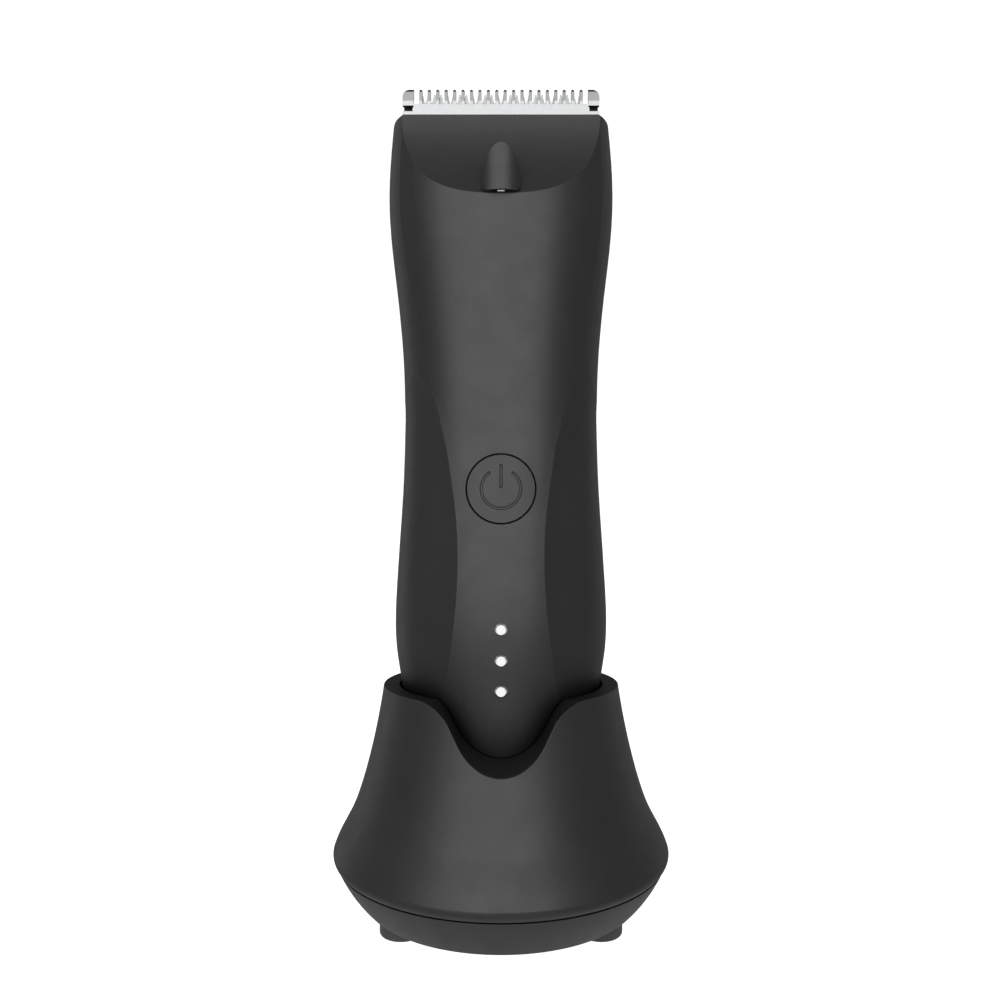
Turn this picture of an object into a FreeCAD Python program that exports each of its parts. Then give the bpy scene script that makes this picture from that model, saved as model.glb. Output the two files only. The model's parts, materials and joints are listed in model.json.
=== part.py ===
import FreeCAD, Part
import math
import os

# Body groomer standing in its charging dock.
# Millimetres, +Z up. The origin is on the table, on the axis of the dock.
# The front (power button, lamp, dock notch) faces -Y.

V = FreeCAD.Vector
X_AXIS, Y_AXIS, Z_AXIS = V(1, 0, 0), V(0, 1, 0), V(0, 0, 1)

# ---------------------------------------------------------------- dock sizes
FOOT_RADIUS, FOOT_CIRCLE, FOOT_HEIGHT = 4.2, 21.0, 3.2
FOOT_ANGLES = (-150, -30, 90)
SCREW_ANGLES = (-90, 30, 150)
BASE_EDGE_R, BASE_EDGE_Z = 26.5, 3.6
BASE_FLANK_R, BASE_FLANK_Z = 29.25, 6.9
SEAM_R, SEAM_Z = 31.6, 11.25
WIDEST_R, WIDEST_Z = 32.3, 13.2
RIM_R, RIM_Z = 22.75, 44.4
DOCK_WALL = 2.0
CUP_TOP_R, CUP_FLOOR_R, CUP_WALL = 19.75, 18.9, 1.5
CUP_FLOOR_Z, CUP_FLOOR_T = 13.0, 1.5
NOTCH_BOTTOM_Z, NOTCH_BOTTOM_R = 32.65, 9.0
NOTCH_FLANK_DEG, NOTCH_FLANK_LEN = 58.0, 2.65
NOTCH_SHOULDER_R, NOTCH_TAIL_DEG = 5.45, 17.0
NOTCH_Y, NOTCH_FALL_DEG = -25.0, 20.0
LIP_T, COLLAR_T = 1.6, 0.3
BOARD_Z, BOARD_T = 5.6, 1.2
CONTACT_X = 4.0
PIN_R, PIN_TIP_Z = 0.95, 14.15

# ------------------------------------------------------------- trimmer sizes
BODY_BOTTOM_Z = 13.05
CAP_TOP_Z = 18.0
BODY_TOP_Z = 151.4
WALL = 1.8
PART_LINE_Y = 3.0
# height, half width, half depth, roundness exponent of each body section
BODY_SECTIONS = (
    (13.0, 17.7, 17.7, 2.0),
    (24.0, 18.45, 18.45, 2.0),
    (36.0, 18.95, 18.95, 2.0),
    (45.0, 19.45, 19.3, 2.0),
    (50.5, 20.27, 19.55, 2.05),
    (57.0, 20.6, 19.55, 2.1),
    (65.0, 20.24, 19.0, 2.15),
    (73.0, 19.7, 18.2, 2.2),
    (82.0, 19.11, 17.25, 2.25),
    (91.0, 18.77, 16.4, 2.3),
    (101.0, 18.7, 15.95, 2.33),
    (111.0, 19.22, 15.85, 2.35),
    (121.0, 20.25, 16.15, 2.36),
    (130.0, 21.27, 16.5, 2.37),
    (139.0, 21.67, 16.65, 2.4),
    (146.5, 21.25, 16.6, 2.52),
    (153.0, 20.55, 16.5, 2.7),
)
SECTION_POINTS = 24
TOP_ROUND = 0.4
SCOOP_R, SCOOP_Y, SCOOP_Z = 34.0, -43.91, 155.0
BUTTON_Z, BUTTON_R, BUTTON_GAP, ICON_DEPTH = 82.0, 6.05, 0.3, 0.14
CASE_SCREW_X, CASE_SCREW_Z = 10.5, 30.0
DOT_HEIGHTS, DOT_R, DOT_GAP = (57.2, 51.7, 46.3), 0.865, 0.26
# height of the crease that bounds each side grip and how far out it lies there
GRIP_CREASE = (
    (26.0, 16.0),
    (34.0, 13.6),
    (46.5, 10.0),
    (57.5, 8.4),
    (69.0, 7.75),
    (85.0, 9.1),
    (95.5, 11.3),
    (105.0, 14.2),
)
GRIP_SLOPE, GRIP_ROUND, GRIP_SIDE = 0.42, 1.6, 0.12
GRIP_FADE, GRIP_FADE_LEN = 0.45, 8.0
GRIP_POINTS, GRIP_RINGS = 48, 41
HOOD_HALF_W, HOOD_Z0, HOOD_Z1, HOOD_CORNER = 3.5, 135.05, 143.4, 1.2
HOOD_RIDGE_Y, HOOD_R = -18.0, 4.5
LENS_W, LENS_H, LENS_LEN = 1.25, 0.9, 3.2
LENS_SET_BACK = 0.65

# ------------------------------------------------------------- cutting head
TOOTH_TIP_Z, TOOTH_ROOT_Z = 156.8, 154.0
FIXED_Y, FIXED_T, FIXED_HALF_W = -8.55, 0.9, 18.4
TOOTH_PITCH, TOOTH_W, TOOTH_COUNT = 1.579, 0.62, 20
NOTCH_DEEP = 2.05
MOVING_Y, MOVING_T, MOVING_HALF_W = -7.6, 0.8, 15.4
MOVING_TIP_Z, MOVING_ROOT_Z = 156.1, 154.5
MOVING_PITCH = TOOTH_PITCH * 0.75
STEM_HALF_W, HEAD_BOTTOM_Z = 16.2, 144.0
BLADE_THROW = 1.0
OPENING_HALF_W, OPENING_FRONT_Y, OPENING_BACK_Y = 16.6, -8.7, 3.5
CRANK_PIN_R, SLOT_HALF_W = 1.0, 1.3
SPRING_BACK_Y = -6.12

# ------------------------------------------------------------------ drive
MOTOR_R, MOTOR_FLAT, MOTOR_Z, MOTOR_LEN = 10.0, 7.6, 102.0, 28.0
SHAFT_R = 1.0
CELL_R, CELL_Y, CELL_Z, CELL_LEN = 7.1, 3.0, 23.0, 49.0
PCB_Y, PCB_T = -11.0, 1.2
PCB_Z0, PCB_Z1, PCB_HALF_W = 26.0, 98.0, 8.5
CAP_SCREW_X, LEAD_Y = 11.0, -5.9
LEAD_WINDOWS = ((26.8, 29.4), (68.8, 71.4), (90.6, 97.0))


def save(shape, node):
    shape.exportStep("parts/" + node + ".step")


def cylinder(radius, length, base, axis=Z_AXIS):
    return Part.makeCylinder(radius, length, base, axis)


def block(x0, x1, y0, y1, z0, z1):
    return Part.makeBox(x1 - x0, y1 - y0, z1 - z0, V(x0, y0, z0))


def prism_xz(points, y0, y1):
    """Closed outline of (x, z) points pushed from y0 to y1."""
    wire = Part.makePolygon([V(x, y0, z) for x, z in points + [points[0]]])
    return Part.Face(wire).extrude(V(0, y1 - y0, 0))


def revolve_rz(edges):
    """Solid of revolution about Z from joined edges in the XZ plane."""
    return Part.Face(Part.Wire(edges)).revolve(V(0, 0, 0), Z_AXIS, 360)


def line_rz(r0, z0, r1, z1):
    return Part.LineSegment(V(r0, 0, z0), V(r1, 0, z1)).toShape()


def arc_rz(start, middle, end):
    points = [V(r, 0, z) for r, z in (start, middle, end)]
    return Part.Arc(*points).toShape()


def polar(radius, degrees, z):
    angle = math.radians(degrees)
    return V(radius * math.cos(angle), radius * math.sin(angle), z)


# --------------------------------------------------------------- dock shapes
def dock_flare(inset):
    """Edge of the dock's outer flare from the widest point up to the rim."""
    widest = V(WIDEST_R - inset, 0, WIDEST_Z)
    points = [
        widest,
        V(31.2 - inset, 0, 15.9),
        V(29.0 - inset, 0, 20.0),
        V(27.4 - inset, 0, 24.0),
        V(25.65 - inset, 0, 30.0),
        V(24.25 - inset, 0, 36.0),
        V(RIM_R - inset, 0, RIM_Z),
    ]
    curve = Part.BSplineCurve()
    curve.interpolate(points)
    return curve.toShape(), widest


def dock_volume(inset, bottom_z):
    """Filled volume of the upper dock, moved in by inset."""
    flare, widest = dock_flare(inset)
    corner = (SEAM_R - inset, bottom_z)
    bulge = (widest.x + 0.01, 12.4)
    edges = [
        line_rz(0, bottom_z, *corner),
        arc_rz(corner, bulge, (widest.x, widest.z)),
        flare,
        line_rz(RIM_R - inset, RIM_Z, 0, RIM_Z),
        line_rz(0, RIM_Z, 0, bottom_z),
    ]
    return revolve_rz(edges)


def notch_outline():
    """Right half of the notch, seen from the front: foot, flank, shoulder and tail."""
    flank, tail = math.radians(NOTCH_FLANK_DEG), math.radians(NOTCH_TAIL_DEG)
    foot_z = NOTCH_BOTTOM_Z + NOTCH_BOTTOM_R * (1 - math.cos(flank))
    foot = (NOTCH_BOTTOM_R * math.sin(flank), foot_z)
    low = (
        foot[0] + NOTCH_FLANK_LEN * math.cos(flank),
        foot[1] + NOTCH_FLANK_LEN * math.sin(flank),
    )
    centre = (
        low[0] + NOTCH_SHOULDER_R * math.sin(flank),
        low[1] - NOTCH_SHOULDER_R * math.cos(flank),
    )
    crest = (centre[0], centre[1] + NOTCH_SHOULDER_R)
    high = (
        centre[0] + NOTCH_SHOULDER_R * math.sin(tail),
        centre[1] + NOTCH_SHOULDER_R * math.cos(tail),
    )
    reach = 18
    far = (high[0] + reach * math.cos(tail), high[1] - reach * math.sin(tail))
    return foot, low, crest, high, far


def notch_cutter(drop):
    """Everything above the rim and its front notch, lowered by drop."""
    foot, low, crest, high, far = notch_outline()
    above = (far[0], RIM_Z + 30)
    fall = math.tan(math.radians(NOTCH_FALL_DEG))
    lead_in, reach = 15, 38

    def at(point, side=1):
        return V(side * point[0], NOTCH_Y - lead_in, point[1] - drop - lead_in * fall)

    edges = [
        Part.Arc(at(foot, -1), at((0, NOTCH_BOTTOM_Z)), at(foot)).toShape(),
        Part.makeLine(at(foot), at(low)),
        Part.Arc(at(low), at(crest), at(high)).toShape(),
        Part.makeLine(at(high), at(far)),
        Part.makeLine(at(far), at(above)),
        Part.makeLine(at(above), at(above, -1)),
        Part.makeLine(at(above, -1), at(far, -1)),
        Part.makeLine(at(far, -1), at(high, -1)),
        Part.Arc(at(high, -1), at(crest, -1), at(low, -1)).toShape(),
        Part.makeLine(at(low, -1), at(foot, -1)),
    ]
    notch = Part.Face(Part.Wire(edges)).extrude(V(0, reach, reach * fall))
    sky = block(-60, 60, -60, 60, RIM_Z - drop, RIM_Z + 90)
    return notch.fuse(sky)


def cup_volume(extra, bottom_z):
    """Tapered volume of the cup's inside, made wider by extra."""
    return Part.makeCone(
        CUP_FLOOR_R + extra, CUP_TOP_R + extra, RIM_Z + 0.01 - bottom_z, V(0, 0, bottom_z)
    )


def make_dock_shell(cutter, cutter_low):
    shell = dock_volume(0, SEAM_Z)
    shell = shell.cut(dock_volume(DOCK_WALL, SEAM_Z - 1))
    shell = shell.cut(cylinder(SEAM_R - DOCK_WALL, 2, V(0, 0, SEAM_Z - 1)))
    for angle in SCREW_ANGLES:
        boss = cylinder(3.0, 12.0, polar(FOOT_CIRCLE + 2.4, angle, SEAM_Z))
        hole = cylinder(1.1, 10.5, polar(FOOT_CIRCLE + 2.4, angle, SEAM_Z - 0.5))
        shell = shell.fuse(boss.common(dock_volume(DOCK_WALL - 0.4, SEAM_Z - 1))).cut(hole)
    rebate = cutter_low.common(dock_volume(COLLAR_T, SEAM_Z))
    shell = shell.cut(rebate).cut(cutter)
    return shell.cut(cup_volume(CUP_WALL + 0.15, CUP_FLOOR_Z - CUP_FLOOR_T - 1))


def make_dock_cup(cutter, cutter_low):
    lip = dock_volume(COLLAR_T + 0.03, SEAM_Z).common(cutter_low)
    wall = cup_volume(CUP_WALL, CUP_FLOOR_Z - CUP_FLOOR_T)
    cup = wall.fuse(lip).cut(cutter)
    cup = cup.cut(cup_volume(0, CUP_FLOOR_Z))
    for side in (-1, 1):
        cup = cup.cut(cylinder(PIN_R + 0.2, 4, V(side * CONTACT_X, 0, CUP_FLOOR_Z - 3)))
    return cup


def make_dock_base():
    flank_middle = (BASE_FLANK_R, BASE_FLANK_Z)
    flank = arc_rz((BASE_EDGE_R, BASE_EDGE_Z), flank_middle, (SEAM_R, SEAM_Z - 0.25))
    edges = [
        line_rz(0, FOOT_HEIGHT, BASE_EDGE_R - 1.6, FOOT_HEIGHT),
        line_rz(BASE_EDGE_R - 1.6, FOOT_HEIGHT, BASE_EDGE_R, BASE_EDGE_Z),
        flank,
        line_rz(SEAM_R, SEAM_Z - 0.25, SEAM_R - DOCK_WALL - 0.2, SEAM_Z - 0.25),
        line_rz(SEAM_R - DOCK_WALL - 0.2, SEAM_Z - 0.25, 24.2, 5.1),
        line_rz(24.2, 5.1, 0, 5.1),
        line_rz(0, 5.1, 0, FOOT_HEIGHT),
    ]
    base = revolve_rz(edges)
    spigot = cylinder(29.1, 4.0, V(0, 0, 9.0)).cut(cylinder(28.1, 5.0, V(0, 0, 8.5)))
    base = base.fuse(spigot)
    for angle in SCREW_ANGLES:
        post = cylinder(3.0, SEAM_Z - 5.05, polar(FOOT_CIRCLE + 2.4, angle, 5.0))
        bore = cylinder(1.3, 12, polar(FOOT_CIRCLE + 2.4, angle, 2.0))
        head = cylinder(2.3, 3.2, polar(FOOT_CIRCLE + 2.4, angle, 2.0))
        base = base.fuse(post).cut(bore).cut(head)
    for x in (-7.5, 7.5):
        for y in (-3.5, 16.0):
            base = base.fuse(cylinder(1.5, BOARD_Z - 5.0, V(x, y, 5.0)))
    return base.cut(stadium_y(9.5, 3.8, 20.0, 34.0, BOARD_Z + BOARD_T + 1.6))


def stadium_y(width, height, y0, y1, z):
    """Rounded slot shape of the given width and height, running along Y."""
    radius = height / 2
    reach = width / 2 - radius
    body = block(-reach, reach, y0, y1, z - radius, z + radius)
    for side in (-1, 1):
        body = body.fuse(cylinder(radius, y1 - y0, V(side * reach, y0, z), Y_AXIS))
    return body.removeSplitter()


def make_dock_feet():
    feet = []
    for angle in FOOT_ANGLES:
        foot = cylinder(FOOT_RADIUS, FOOT_HEIGHT, polar(FOOT_CIRCLE, angle, 0))
        low = [edge for edge in foot.Edges if edge.BoundBox.ZMax < 0.01]
        feet.append(foot.makeFillet(0.7, low))
    return Part.makeCompound(feet)


def make_dock_screws():
    screws = []
    for angle in SCREW_ANGLES:
        place = polar(FOOT_CIRCLE + 2.4, angle, 0)
        head = cylinder(2.1, 1.4, place + V(0, 0, 3.7))
        shank = cylinder(1.05, 12.5, place + V(0, 0, 5.0))
        cross = block(-1.3, 1.3, -0.3, 0.3, 3.6, 4.4).fuse(block(-0.3, 0.3, -1.3, 1.3, 3.6, 4.4))
        cross.translate(place)
        screws.append(head.fuse(shank).cut(cross))
    return Part.makeCompound(screws)


def make_dock_weight():
    ring = cylinder(23.0, 3.0, V(0, 0, 5.15)).cut(cylinder(12.0, 4.0, V(0, 0, 5.0)))
    ring = ring.cut(block(-12.5, 12.5, -8, 30, 5, 9))
    for angle in SCREW_ANGLES:
        ring = ring.cut(cylinder(3.3, 5, polar(FOOT_CIRCLE + 2.4, angle, 4.5)))
    return ring


def make_dock_board():
    board = block(-11, 11, -6, 21.5, BOARD_Z, BOARD_Z + BOARD_T)
    upright = [edge for edge in board.Edges if edge.BoundBox.ZLength > 1]
    board = board.makeFillet(1.5, upright)
    chip_z = BOARD_Z + BOARD_T
    for x0, y0, wide, deep, tall in ((-8, 6, 5, 5, 1.0), (3, 8, 3, 2, 0.9), (3, 13, 2, 3, 1.4)):
        board = board.fuse(block(x0, x0 + wide, y0, y0 + deep, chip_z, chip_z + tall))
    return board


def make_usb_socket():
    z = BOARD_Z + BOARD_T + 1.6
    shell = stadium_y(8.9, 3.2, 20.8, 28.2, z)
    shell = shell.cut(stadium_y(8.3, 2.6, 21.4, 30.0, z))
    tongue = block(-3.35, 3.35, 21.2, 27.4, z - 0.35, z + 0.35)
    return shell.fuse(tongue)


def make_contact_sleeve():
    sleeves = []
    for side in (-1, 1):
        base = V(side * CONTACT_X, 0, BOARD_Z + BOARD_T)
        tube = cylinder(2.2, 4.5, base).cut(cylinder(1.75, 4.5, base + V(0, 0, 0.4)))
        sleeves.append(tube)
    return Part.makeCompound(sleeves)


def make_contact_pin(side):
    base = V(side * CONTACT_X, 0, 0)
    stem = cylinder(PIN_R, PIN_TIP_Z - 10.3, base + V(0, 0, 10.3))
    tip = [edge for edge in stem.Edges if edge.BoundBox.ZMin > PIN_TIP_Z - 0.01]
    stem = stem.makeFillet(0.5, tip)
    return stem.fuse(cylinder(1.4, 0.6, base + V(0, 0, 10.3)))


def make_contact_spring(side):
    z0 = BOARD_Z + BOARD_T + 0.7
    height = 9.95 - z0
    helix = Part.makeHelix(0.7, height, 1.15)
    section = Part.Wire(Part.makeCircle(0.15, V(1.15, 0, 0), Y_AXIS))
    coil = Part.Wire(helix).makePipeShell([section], True, True)
    coil.translate(V(side * CONTACT_X, 0, z0))
    return coil


# ------------------------------------------------------------ trimmer shapes
def outline(half_width, half_depth, power, count):
    """Evenly turned (x, y) points of the body's rounded outline."""
    points = []
    for index in range(count):
        angle = 2 * math.pi * index / count
        c, s = math.cos(angle), math.sin(angle)
        x = math.copysign(abs(c) ** (2 / power), c) * half_width
        y = math.copysign(abs(s) ** (2 / power), s) * half_depth
        points.append((x, y))
    return points


def closed_curve(points, z):
    """Smooth closed curve through (x, y) points at one height."""
    curve = Part.BSplineCurve()
    steps = [index / len(points) for index in range(len(points) + 1)]
    curve.interpolate(Points=[V(x, y, z) for x, y in points], PeriodicFlag=True, Parameters=steps)
    return curve


def skin_solid(rings, heights):
    """Solid inside one smooth skin through closed curves at the given heights."""
    net = []
    for column in zip(*[ring.getPoles() for ring in rings]):
        rail = Part.BSplineCurve()
        rail.interpolate(Points=list(column), Parameters=heights)
        net.append(rail.getPoles())
    skin = Part.BSplineSurface()
    skin.buildFromPolesMultsKnots(
        net,
        rings[0].getMultiplicities(), rail.getMultiplicities(),
        rings[0].getKnots(), rail.getKnots(),
        True, False, rings[0].Degree, rail.Degree,
    )
    side = skin.toShape()
    rims = [edge for edge in side.Edges if edge.BoundBox.ZLength < 0.01]
    caps = [Part.Face(Part.Wire(edge)) for edge in rims]
    shell = Part.makeShell([side] + caps)
    shell.sewShape()
    return Part.makeSolid(shell)


def body_volume(inset=0.0):
    """Filled volume of the trimmer body, moved in by inset."""
    rings = []
    for z, half_width, half_depth, power in BODY_SECTIONS:
        points = outline(half_width - inset, half_depth - inset, power, SECTION_POINTS)
        rings.append(closed_curve(points, z))
    return skin_solid(rings, [section[0] for section in BODY_SECTIONS])


def height_curve(rows):
    """Smooth curve that gives each row's values at its height, the row's first number."""
    curve = Part.BSplineCurve()
    points = [V(*row[1:]) for row in rows]
    curve.interpolate(Points=points, Parameters=[row[0] for row in rows])
    return curve


def grip_depth(x, z, half_width, crease_x):
    """How far the grip's skin lies inside the body's; below zero it lies outside."""
    low_z, high_z = GRIP_CREASE[0][0], GRIP_CREASE[-1][0]
    from_end = min(z - low_z, high_z - z) / GRIP_FADE_LEN
    fade = GRIP_FADE * (1 - min(max(from_end, 0.0), 1.0))
    out = x - crease_x
    if out < 0:
        return math.tanh(GRIP_SLOPE * out) - fade
    share = out / (half_width - crease_x)
    hollow = GRIP_SLOPE * out * max(1 - share, 0.0) ** GRIP_ROUND
    return hollow + GRIP_SIDE * share ** 2 - fade


def grip_volume():
    """Body-like volume that dips inside the body's skin at the two side grips only."""
    sizes = height_curve(BODY_SECTIONS)
    creases = height_curve([(z, x, 0, 0) for z, x in GRIP_CREASE])
    low_z, high_z = BODY_SECTIONS[0][0], BODY_SECTIONS[-1][0]
    heights = [low_z + (high_z - low_z) * index / (GRIP_RINGS - 1) for index in range(GRIP_RINGS)]
    rings = []
    for z in heights:
        half_width, half_depth, power = sizes.value(z)
        crease_x = creases.value(min(max(z, GRIP_CREASE[0][0]), GRIP_CREASE[-1][0])).x
        points = []
        for x, y in outline(half_width, half_depth, power, GRIP_POINTS):
            slope_x = math.copysign(abs(x / half_width) ** (power - 1) / half_width, x)
            slope_y = math.copysign(abs(y / half_depth) ** (power - 1) / half_depth, y)
            depth = grip_depth(abs(x), z, half_width, crease_x) / math.hypot(slope_x, slope_y)
            points.append((x - slope_x * depth, y - slope_y * depth))
        rings.append(closed_curve(points, z))
    return skin_solid(rings, heights)


def scoop_cutter(grow=0.0):
    """Concave cylinder that hollows the face under the blade."""
    scoop = cylinder(SCOOP_R + grow, 80, V(-40, SCOOP_Y, SCOOP_Z), X_AXIS)
    front = block(-40, 40, -60, SCOOP_Y + SCOOP_R + grow, SCOOP_Z, SCOOP_Z + 20)
    return scoop.fuse(front)


def front_depth(z):
    """Half depth of the body at height z, read between its sections."""
    for low, high in zip(BODY_SECTIONS, BODY_SECTIONS[1:]):
        if low[0] <= z <= high[0]:
            part = (z - low[0]) / (high[0] - low[0])
            return low[2] + part * (high[2] - low[2])
    raise ValueError("height outside the body")


def hood_volume():
    """Hood over the lamp: an upright half round, cut to a rounded outline seen from the front."""
    corner, reach = HOOD_CORNER, HOOD_HALF_W - HOOD_CORNER
    side_z = HOOD_Z0 + corner
    diagonal = corner * math.sqrt(0.5)
    dome = Part.Ellipse(V(0, 0, HOOD_Z1), V(HOOD_HALF_W, 0, side_z), V(0, 0, side_z))
    top = Part.ArcOfEllipse(dome, -math.pi / 2, math.pi / 2).toShape()
    edges = [Part.makeLine(V(-reach, 0, HOOD_Z0), V(reach, 0, HOOD_Z0)), top]
    for side in (-1, 1):
        middle = V(side * (reach + diagonal), 0, side_z - diagonal)
        ends = V(side * reach, 0, HOOD_Z0), V(side * HOOD_HALF_W, 0, side_z)
        edges.append(Part.Arc(ends[0], middle, ends[1]).toShape())
    face = Part.Face(Part.Wire(Part.sortEdges(edges)[0]))
    face.translate(V(0, HOOD_RIDGE_Y - 1, 0))
    prism = face.extrude(V(0, 10, 0))
    return prism.common(cylinder(HOOD_R, 20, V(0, HOOD_RIDGE_Y + HOOD_R, HOOD_Z0 - 5)))


def blade_opening():
    return block(-OPENING_HALF_W, OPENING_HALF_W, OPENING_FRONT_Y, OPENING_BACK_Y, 148, 154)


def housing_solid():
    """Both housing halves as one hollow body, before it is split."""
    tall = block(-40, 40, -40, 40, CAP_TOP_Z, BODY_TOP_Z)
    outer = body_volume().common(tall)
    top = [edge for edge in outer.Edges if edge.BoundBox.ZMin > BODY_TOP_Z - 0.01]
    outer = outer.makeFillet(TOP_ROUND, top).common(grip_volume()).cut(scoop_cutter())
    inner = body_volume(WALL).cut(scoop_cutter(1.6))
    inner = inner.common(block(-40, 40, -40, 40, CAP_TOP_Z - 1, BODY_TOP_Z - WALL))
    return outer.fuse(hood_volume()).cut(inner).cut(blade_opening())


def button_cutter(extra):
    return cylinder(BUTTON_R + extra, 30, V(0, -35, BUTTON_Z), Y_AXIS)


def make_front_housing(body):
    front = body.common(block(-40, 40, -40, PART_LINE_Y, 10, 160))
    front = front.cut(button_cutter(BUTTON_GAP))
    for z in DOT_HEIGHTS:
        front = front.cut(cylinder(DOT_R + DOT_GAP, 12, V(0, -24, z), Y_AXIS))
    return front.cut(lens_volume(0.05))


def make_rear_housing(body):
    rear = body.common(block(-40, 40, PART_LINE_Y + 0.12, 40, 10, 160))
    skin = body_volume(0.4)
    for x in (-CASE_SCREW_X, CASE_SCREW_X):
        boss = cylinder(2.8, 12, V(x, 8.9, CASE_SCREW_Z), Y_AXIS).common(skin)
        rear = rear.fuse(boss)
        rear = rear.cut(cylinder(1.2, 20, V(x, 5, CASE_SCREW_Z), Y_AXIS))
        rear = rear.cut(cylinder(2.2, 10, V(x, 11.0, CASE_SCREW_Z), Y_AXIS))
    return rear


def make_end_cap():
    cap = body_volume().common(block(-40, 40, -40, 40, BODY_BOTTOM_Z, CAP_TOP_Z - 0.15))
    low = [edge for edge in cap.Edges if edge.BoundBox.ZMax < BODY_BOTTOM_Z + 0.01]
    cap = cap.makeFillet(3.2, low)
    spigot = cylinder(15.6, 4.0, V(0, 0, CAP_TOP_Z - 1.0))
    cap = cap.fuse(spigot.cut(cylinder(14.2, 5, V(0, 0, CAP_TOP_Z - 1.6))))
    groove = Part.makeTorus(15.75, 0.6, V(0, 0, CAP_TOP_Z + 1.4))
    cap = cap.cut(groove)
    for side in (-1, 1):
        cap = cap.cut(cylinder(1.85, 8, V(side * CONTACT_X, 0, 10)))
        cap = cap.cut(cylinder(1.15, 12, V(side * CAP_SCREW_X, 0, 10)))
        cap = cap.cut(cylinder(2.0, 3.2, V(side * CAP_SCREW_X, 0, 11.5)))
    return cap


def make_cap_seal():
    return Part.makeTorus(15.75, 0.58, V(0, 0, CAP_TOP_Z + 1.4))


def make_cap_screws():
    screws = []
    for x in (-CAP_SCREW_X, CAP_SCREW_X):
        head = cylinder(1.9, 1.3, V(x, 0, 13.35))
        shank = cylinder(1.0, 6.5, V(x, 0, 14.6))
        slot = block(x - 1.2, x + 1.2, -0.25, 0.25, 13, 14)
        screws.append(head.fuse(shank).cut(slot))
    return Part.makeCompound(screws)


def make_housing_screws():
    screws = []
    for x in (-CASE_SCREW_X, CASE_SCREW_X):
        head = cylinder(2.1, 1.3, V(x, 11.0, CASE_SCREW_Z), Y_AXIS)
        shank = cylinder(1.0, 7.5, V(x, 3.55, CASE_SCREW_Z), Y_AXIS)
        slot = block(x - 1.3, x + 1.3, 11.7, 13, CASE_SCREW_Z - 0.25, CASE_SCREW_Z + 0.25)
        screws.append(head.fuse(shank).cut(slot))
    return Part.makeCompound(screws)


def make_charge_contacts():
    contacts = []
    for side in (-1, 1):
        pad = cylinder(1.8, 2.6, V(side * CONTACT_X, 0, PIN_TIP_Z + 0.05))
        tail = cylinder(0.5, 5.5, V(side * CONTACT_X, 0, 16.5))
        contacts.append(pad.fuse(tail))
    return Part.makeCompound(contacts)


def make_power_button():
    face = body_volume().common(button_cutter(0))
    face = face.common(block(-10, 10, -30, -front_depth(BUTTON_Z) + 1.6, 60, 100))
    stem = cylinder(1.6, 2.2, V(0, -front_depth(BUTTON_Z) + 1.5, BUTTON_Z), Y_AXIS)
    return face.fuse(stem).cut(power_icon())


def power_icon():
    """Engraved standby symbol: a ring open at the top and a bar, of one depth all over."""
    ring = cylinder(3.79, 20, V(0, -30, BUTTON_Z), Y_AXIS)
    ring = ring.cut(cylinder(3.23, 20, V(0, -30, BUTTON_Z), Y_AXIS))
    reach = 6.0 * math.tan(math.radians(34))
    gap = prism_xz([(0, BUTTON_Z), (reach, BUTTON_Z + 6), (-reach, BUTTON_Z + 6)], -31, 0)
    bar = block(-0.27, 0.27, -30, -10, BUTTON_Z + 0.15, BUTTON_Z + 4.35)
    return ring.cut(gap).fuse(bar).cut(body_volume(ICON_DEPTH))


def make_button_seal():
    """Soft ring behind the wall, around the button's stem."""
    y = -front_depth(BUTTON_Z) + WALL + 0.55
    ring = cylinder(BUTTON_R + BUTTON_GAP - 0.03, 0.8, V(0, y, BUTTON_Z), Y_AXIS)
    return ring.cut(cylinder(2.0, 2, V(0, y - 0.5, BUTTON_Z), Y_AXIS))


def make_light_guide():
    """Three white pegs on one bar, which carry the light to the front."""
    low, high = DOT_HEIGHTS[-1] - 2, DOT_HEIGHTS[0] + 2
    guide = block(-1.8, 1.8, -15.6, -14.4, low, high)
    for z in DOT_HEIGHTS:
        front = -front_depth(z) + 0.06
        guide = guide.fuse(cylinder(DOT_R, -15 - front, V(0, front, z), Y_AXIS))
    return guide


def make_indicator_leds():
    leds = [block(-0.8, 0.8, PCB_Y - 0.85, PCB_Y - 0.02, z - 0.8, z + 0.8) for z in DOT_HEIGHTS]
    return Part.makeCompound(leds)


def lens_volume(grow):
    """Small window in the underside of the lamp hood."""
    half = LENS_W / 2 + grow
    y0, z0 = HOOD_RIDGE_Y + LENS_SET_BACK, HOOD_Z0 - 0.03
    return block(-half, half, y0 - grow, y0 + LENS_LEN + grow, z0 - grow, z0 + LENS_H + grow)


def make_lamp_lens():
    return lens_volume(0)


def make_lamp_board():
    board = block(-3, 3, -10.4, -9.6, 134.6, 140.0)
    led = block(-0.7, 0.7, -11.2, -10.4, 135.0, 136.4)
    return board.fuse(led)


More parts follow.
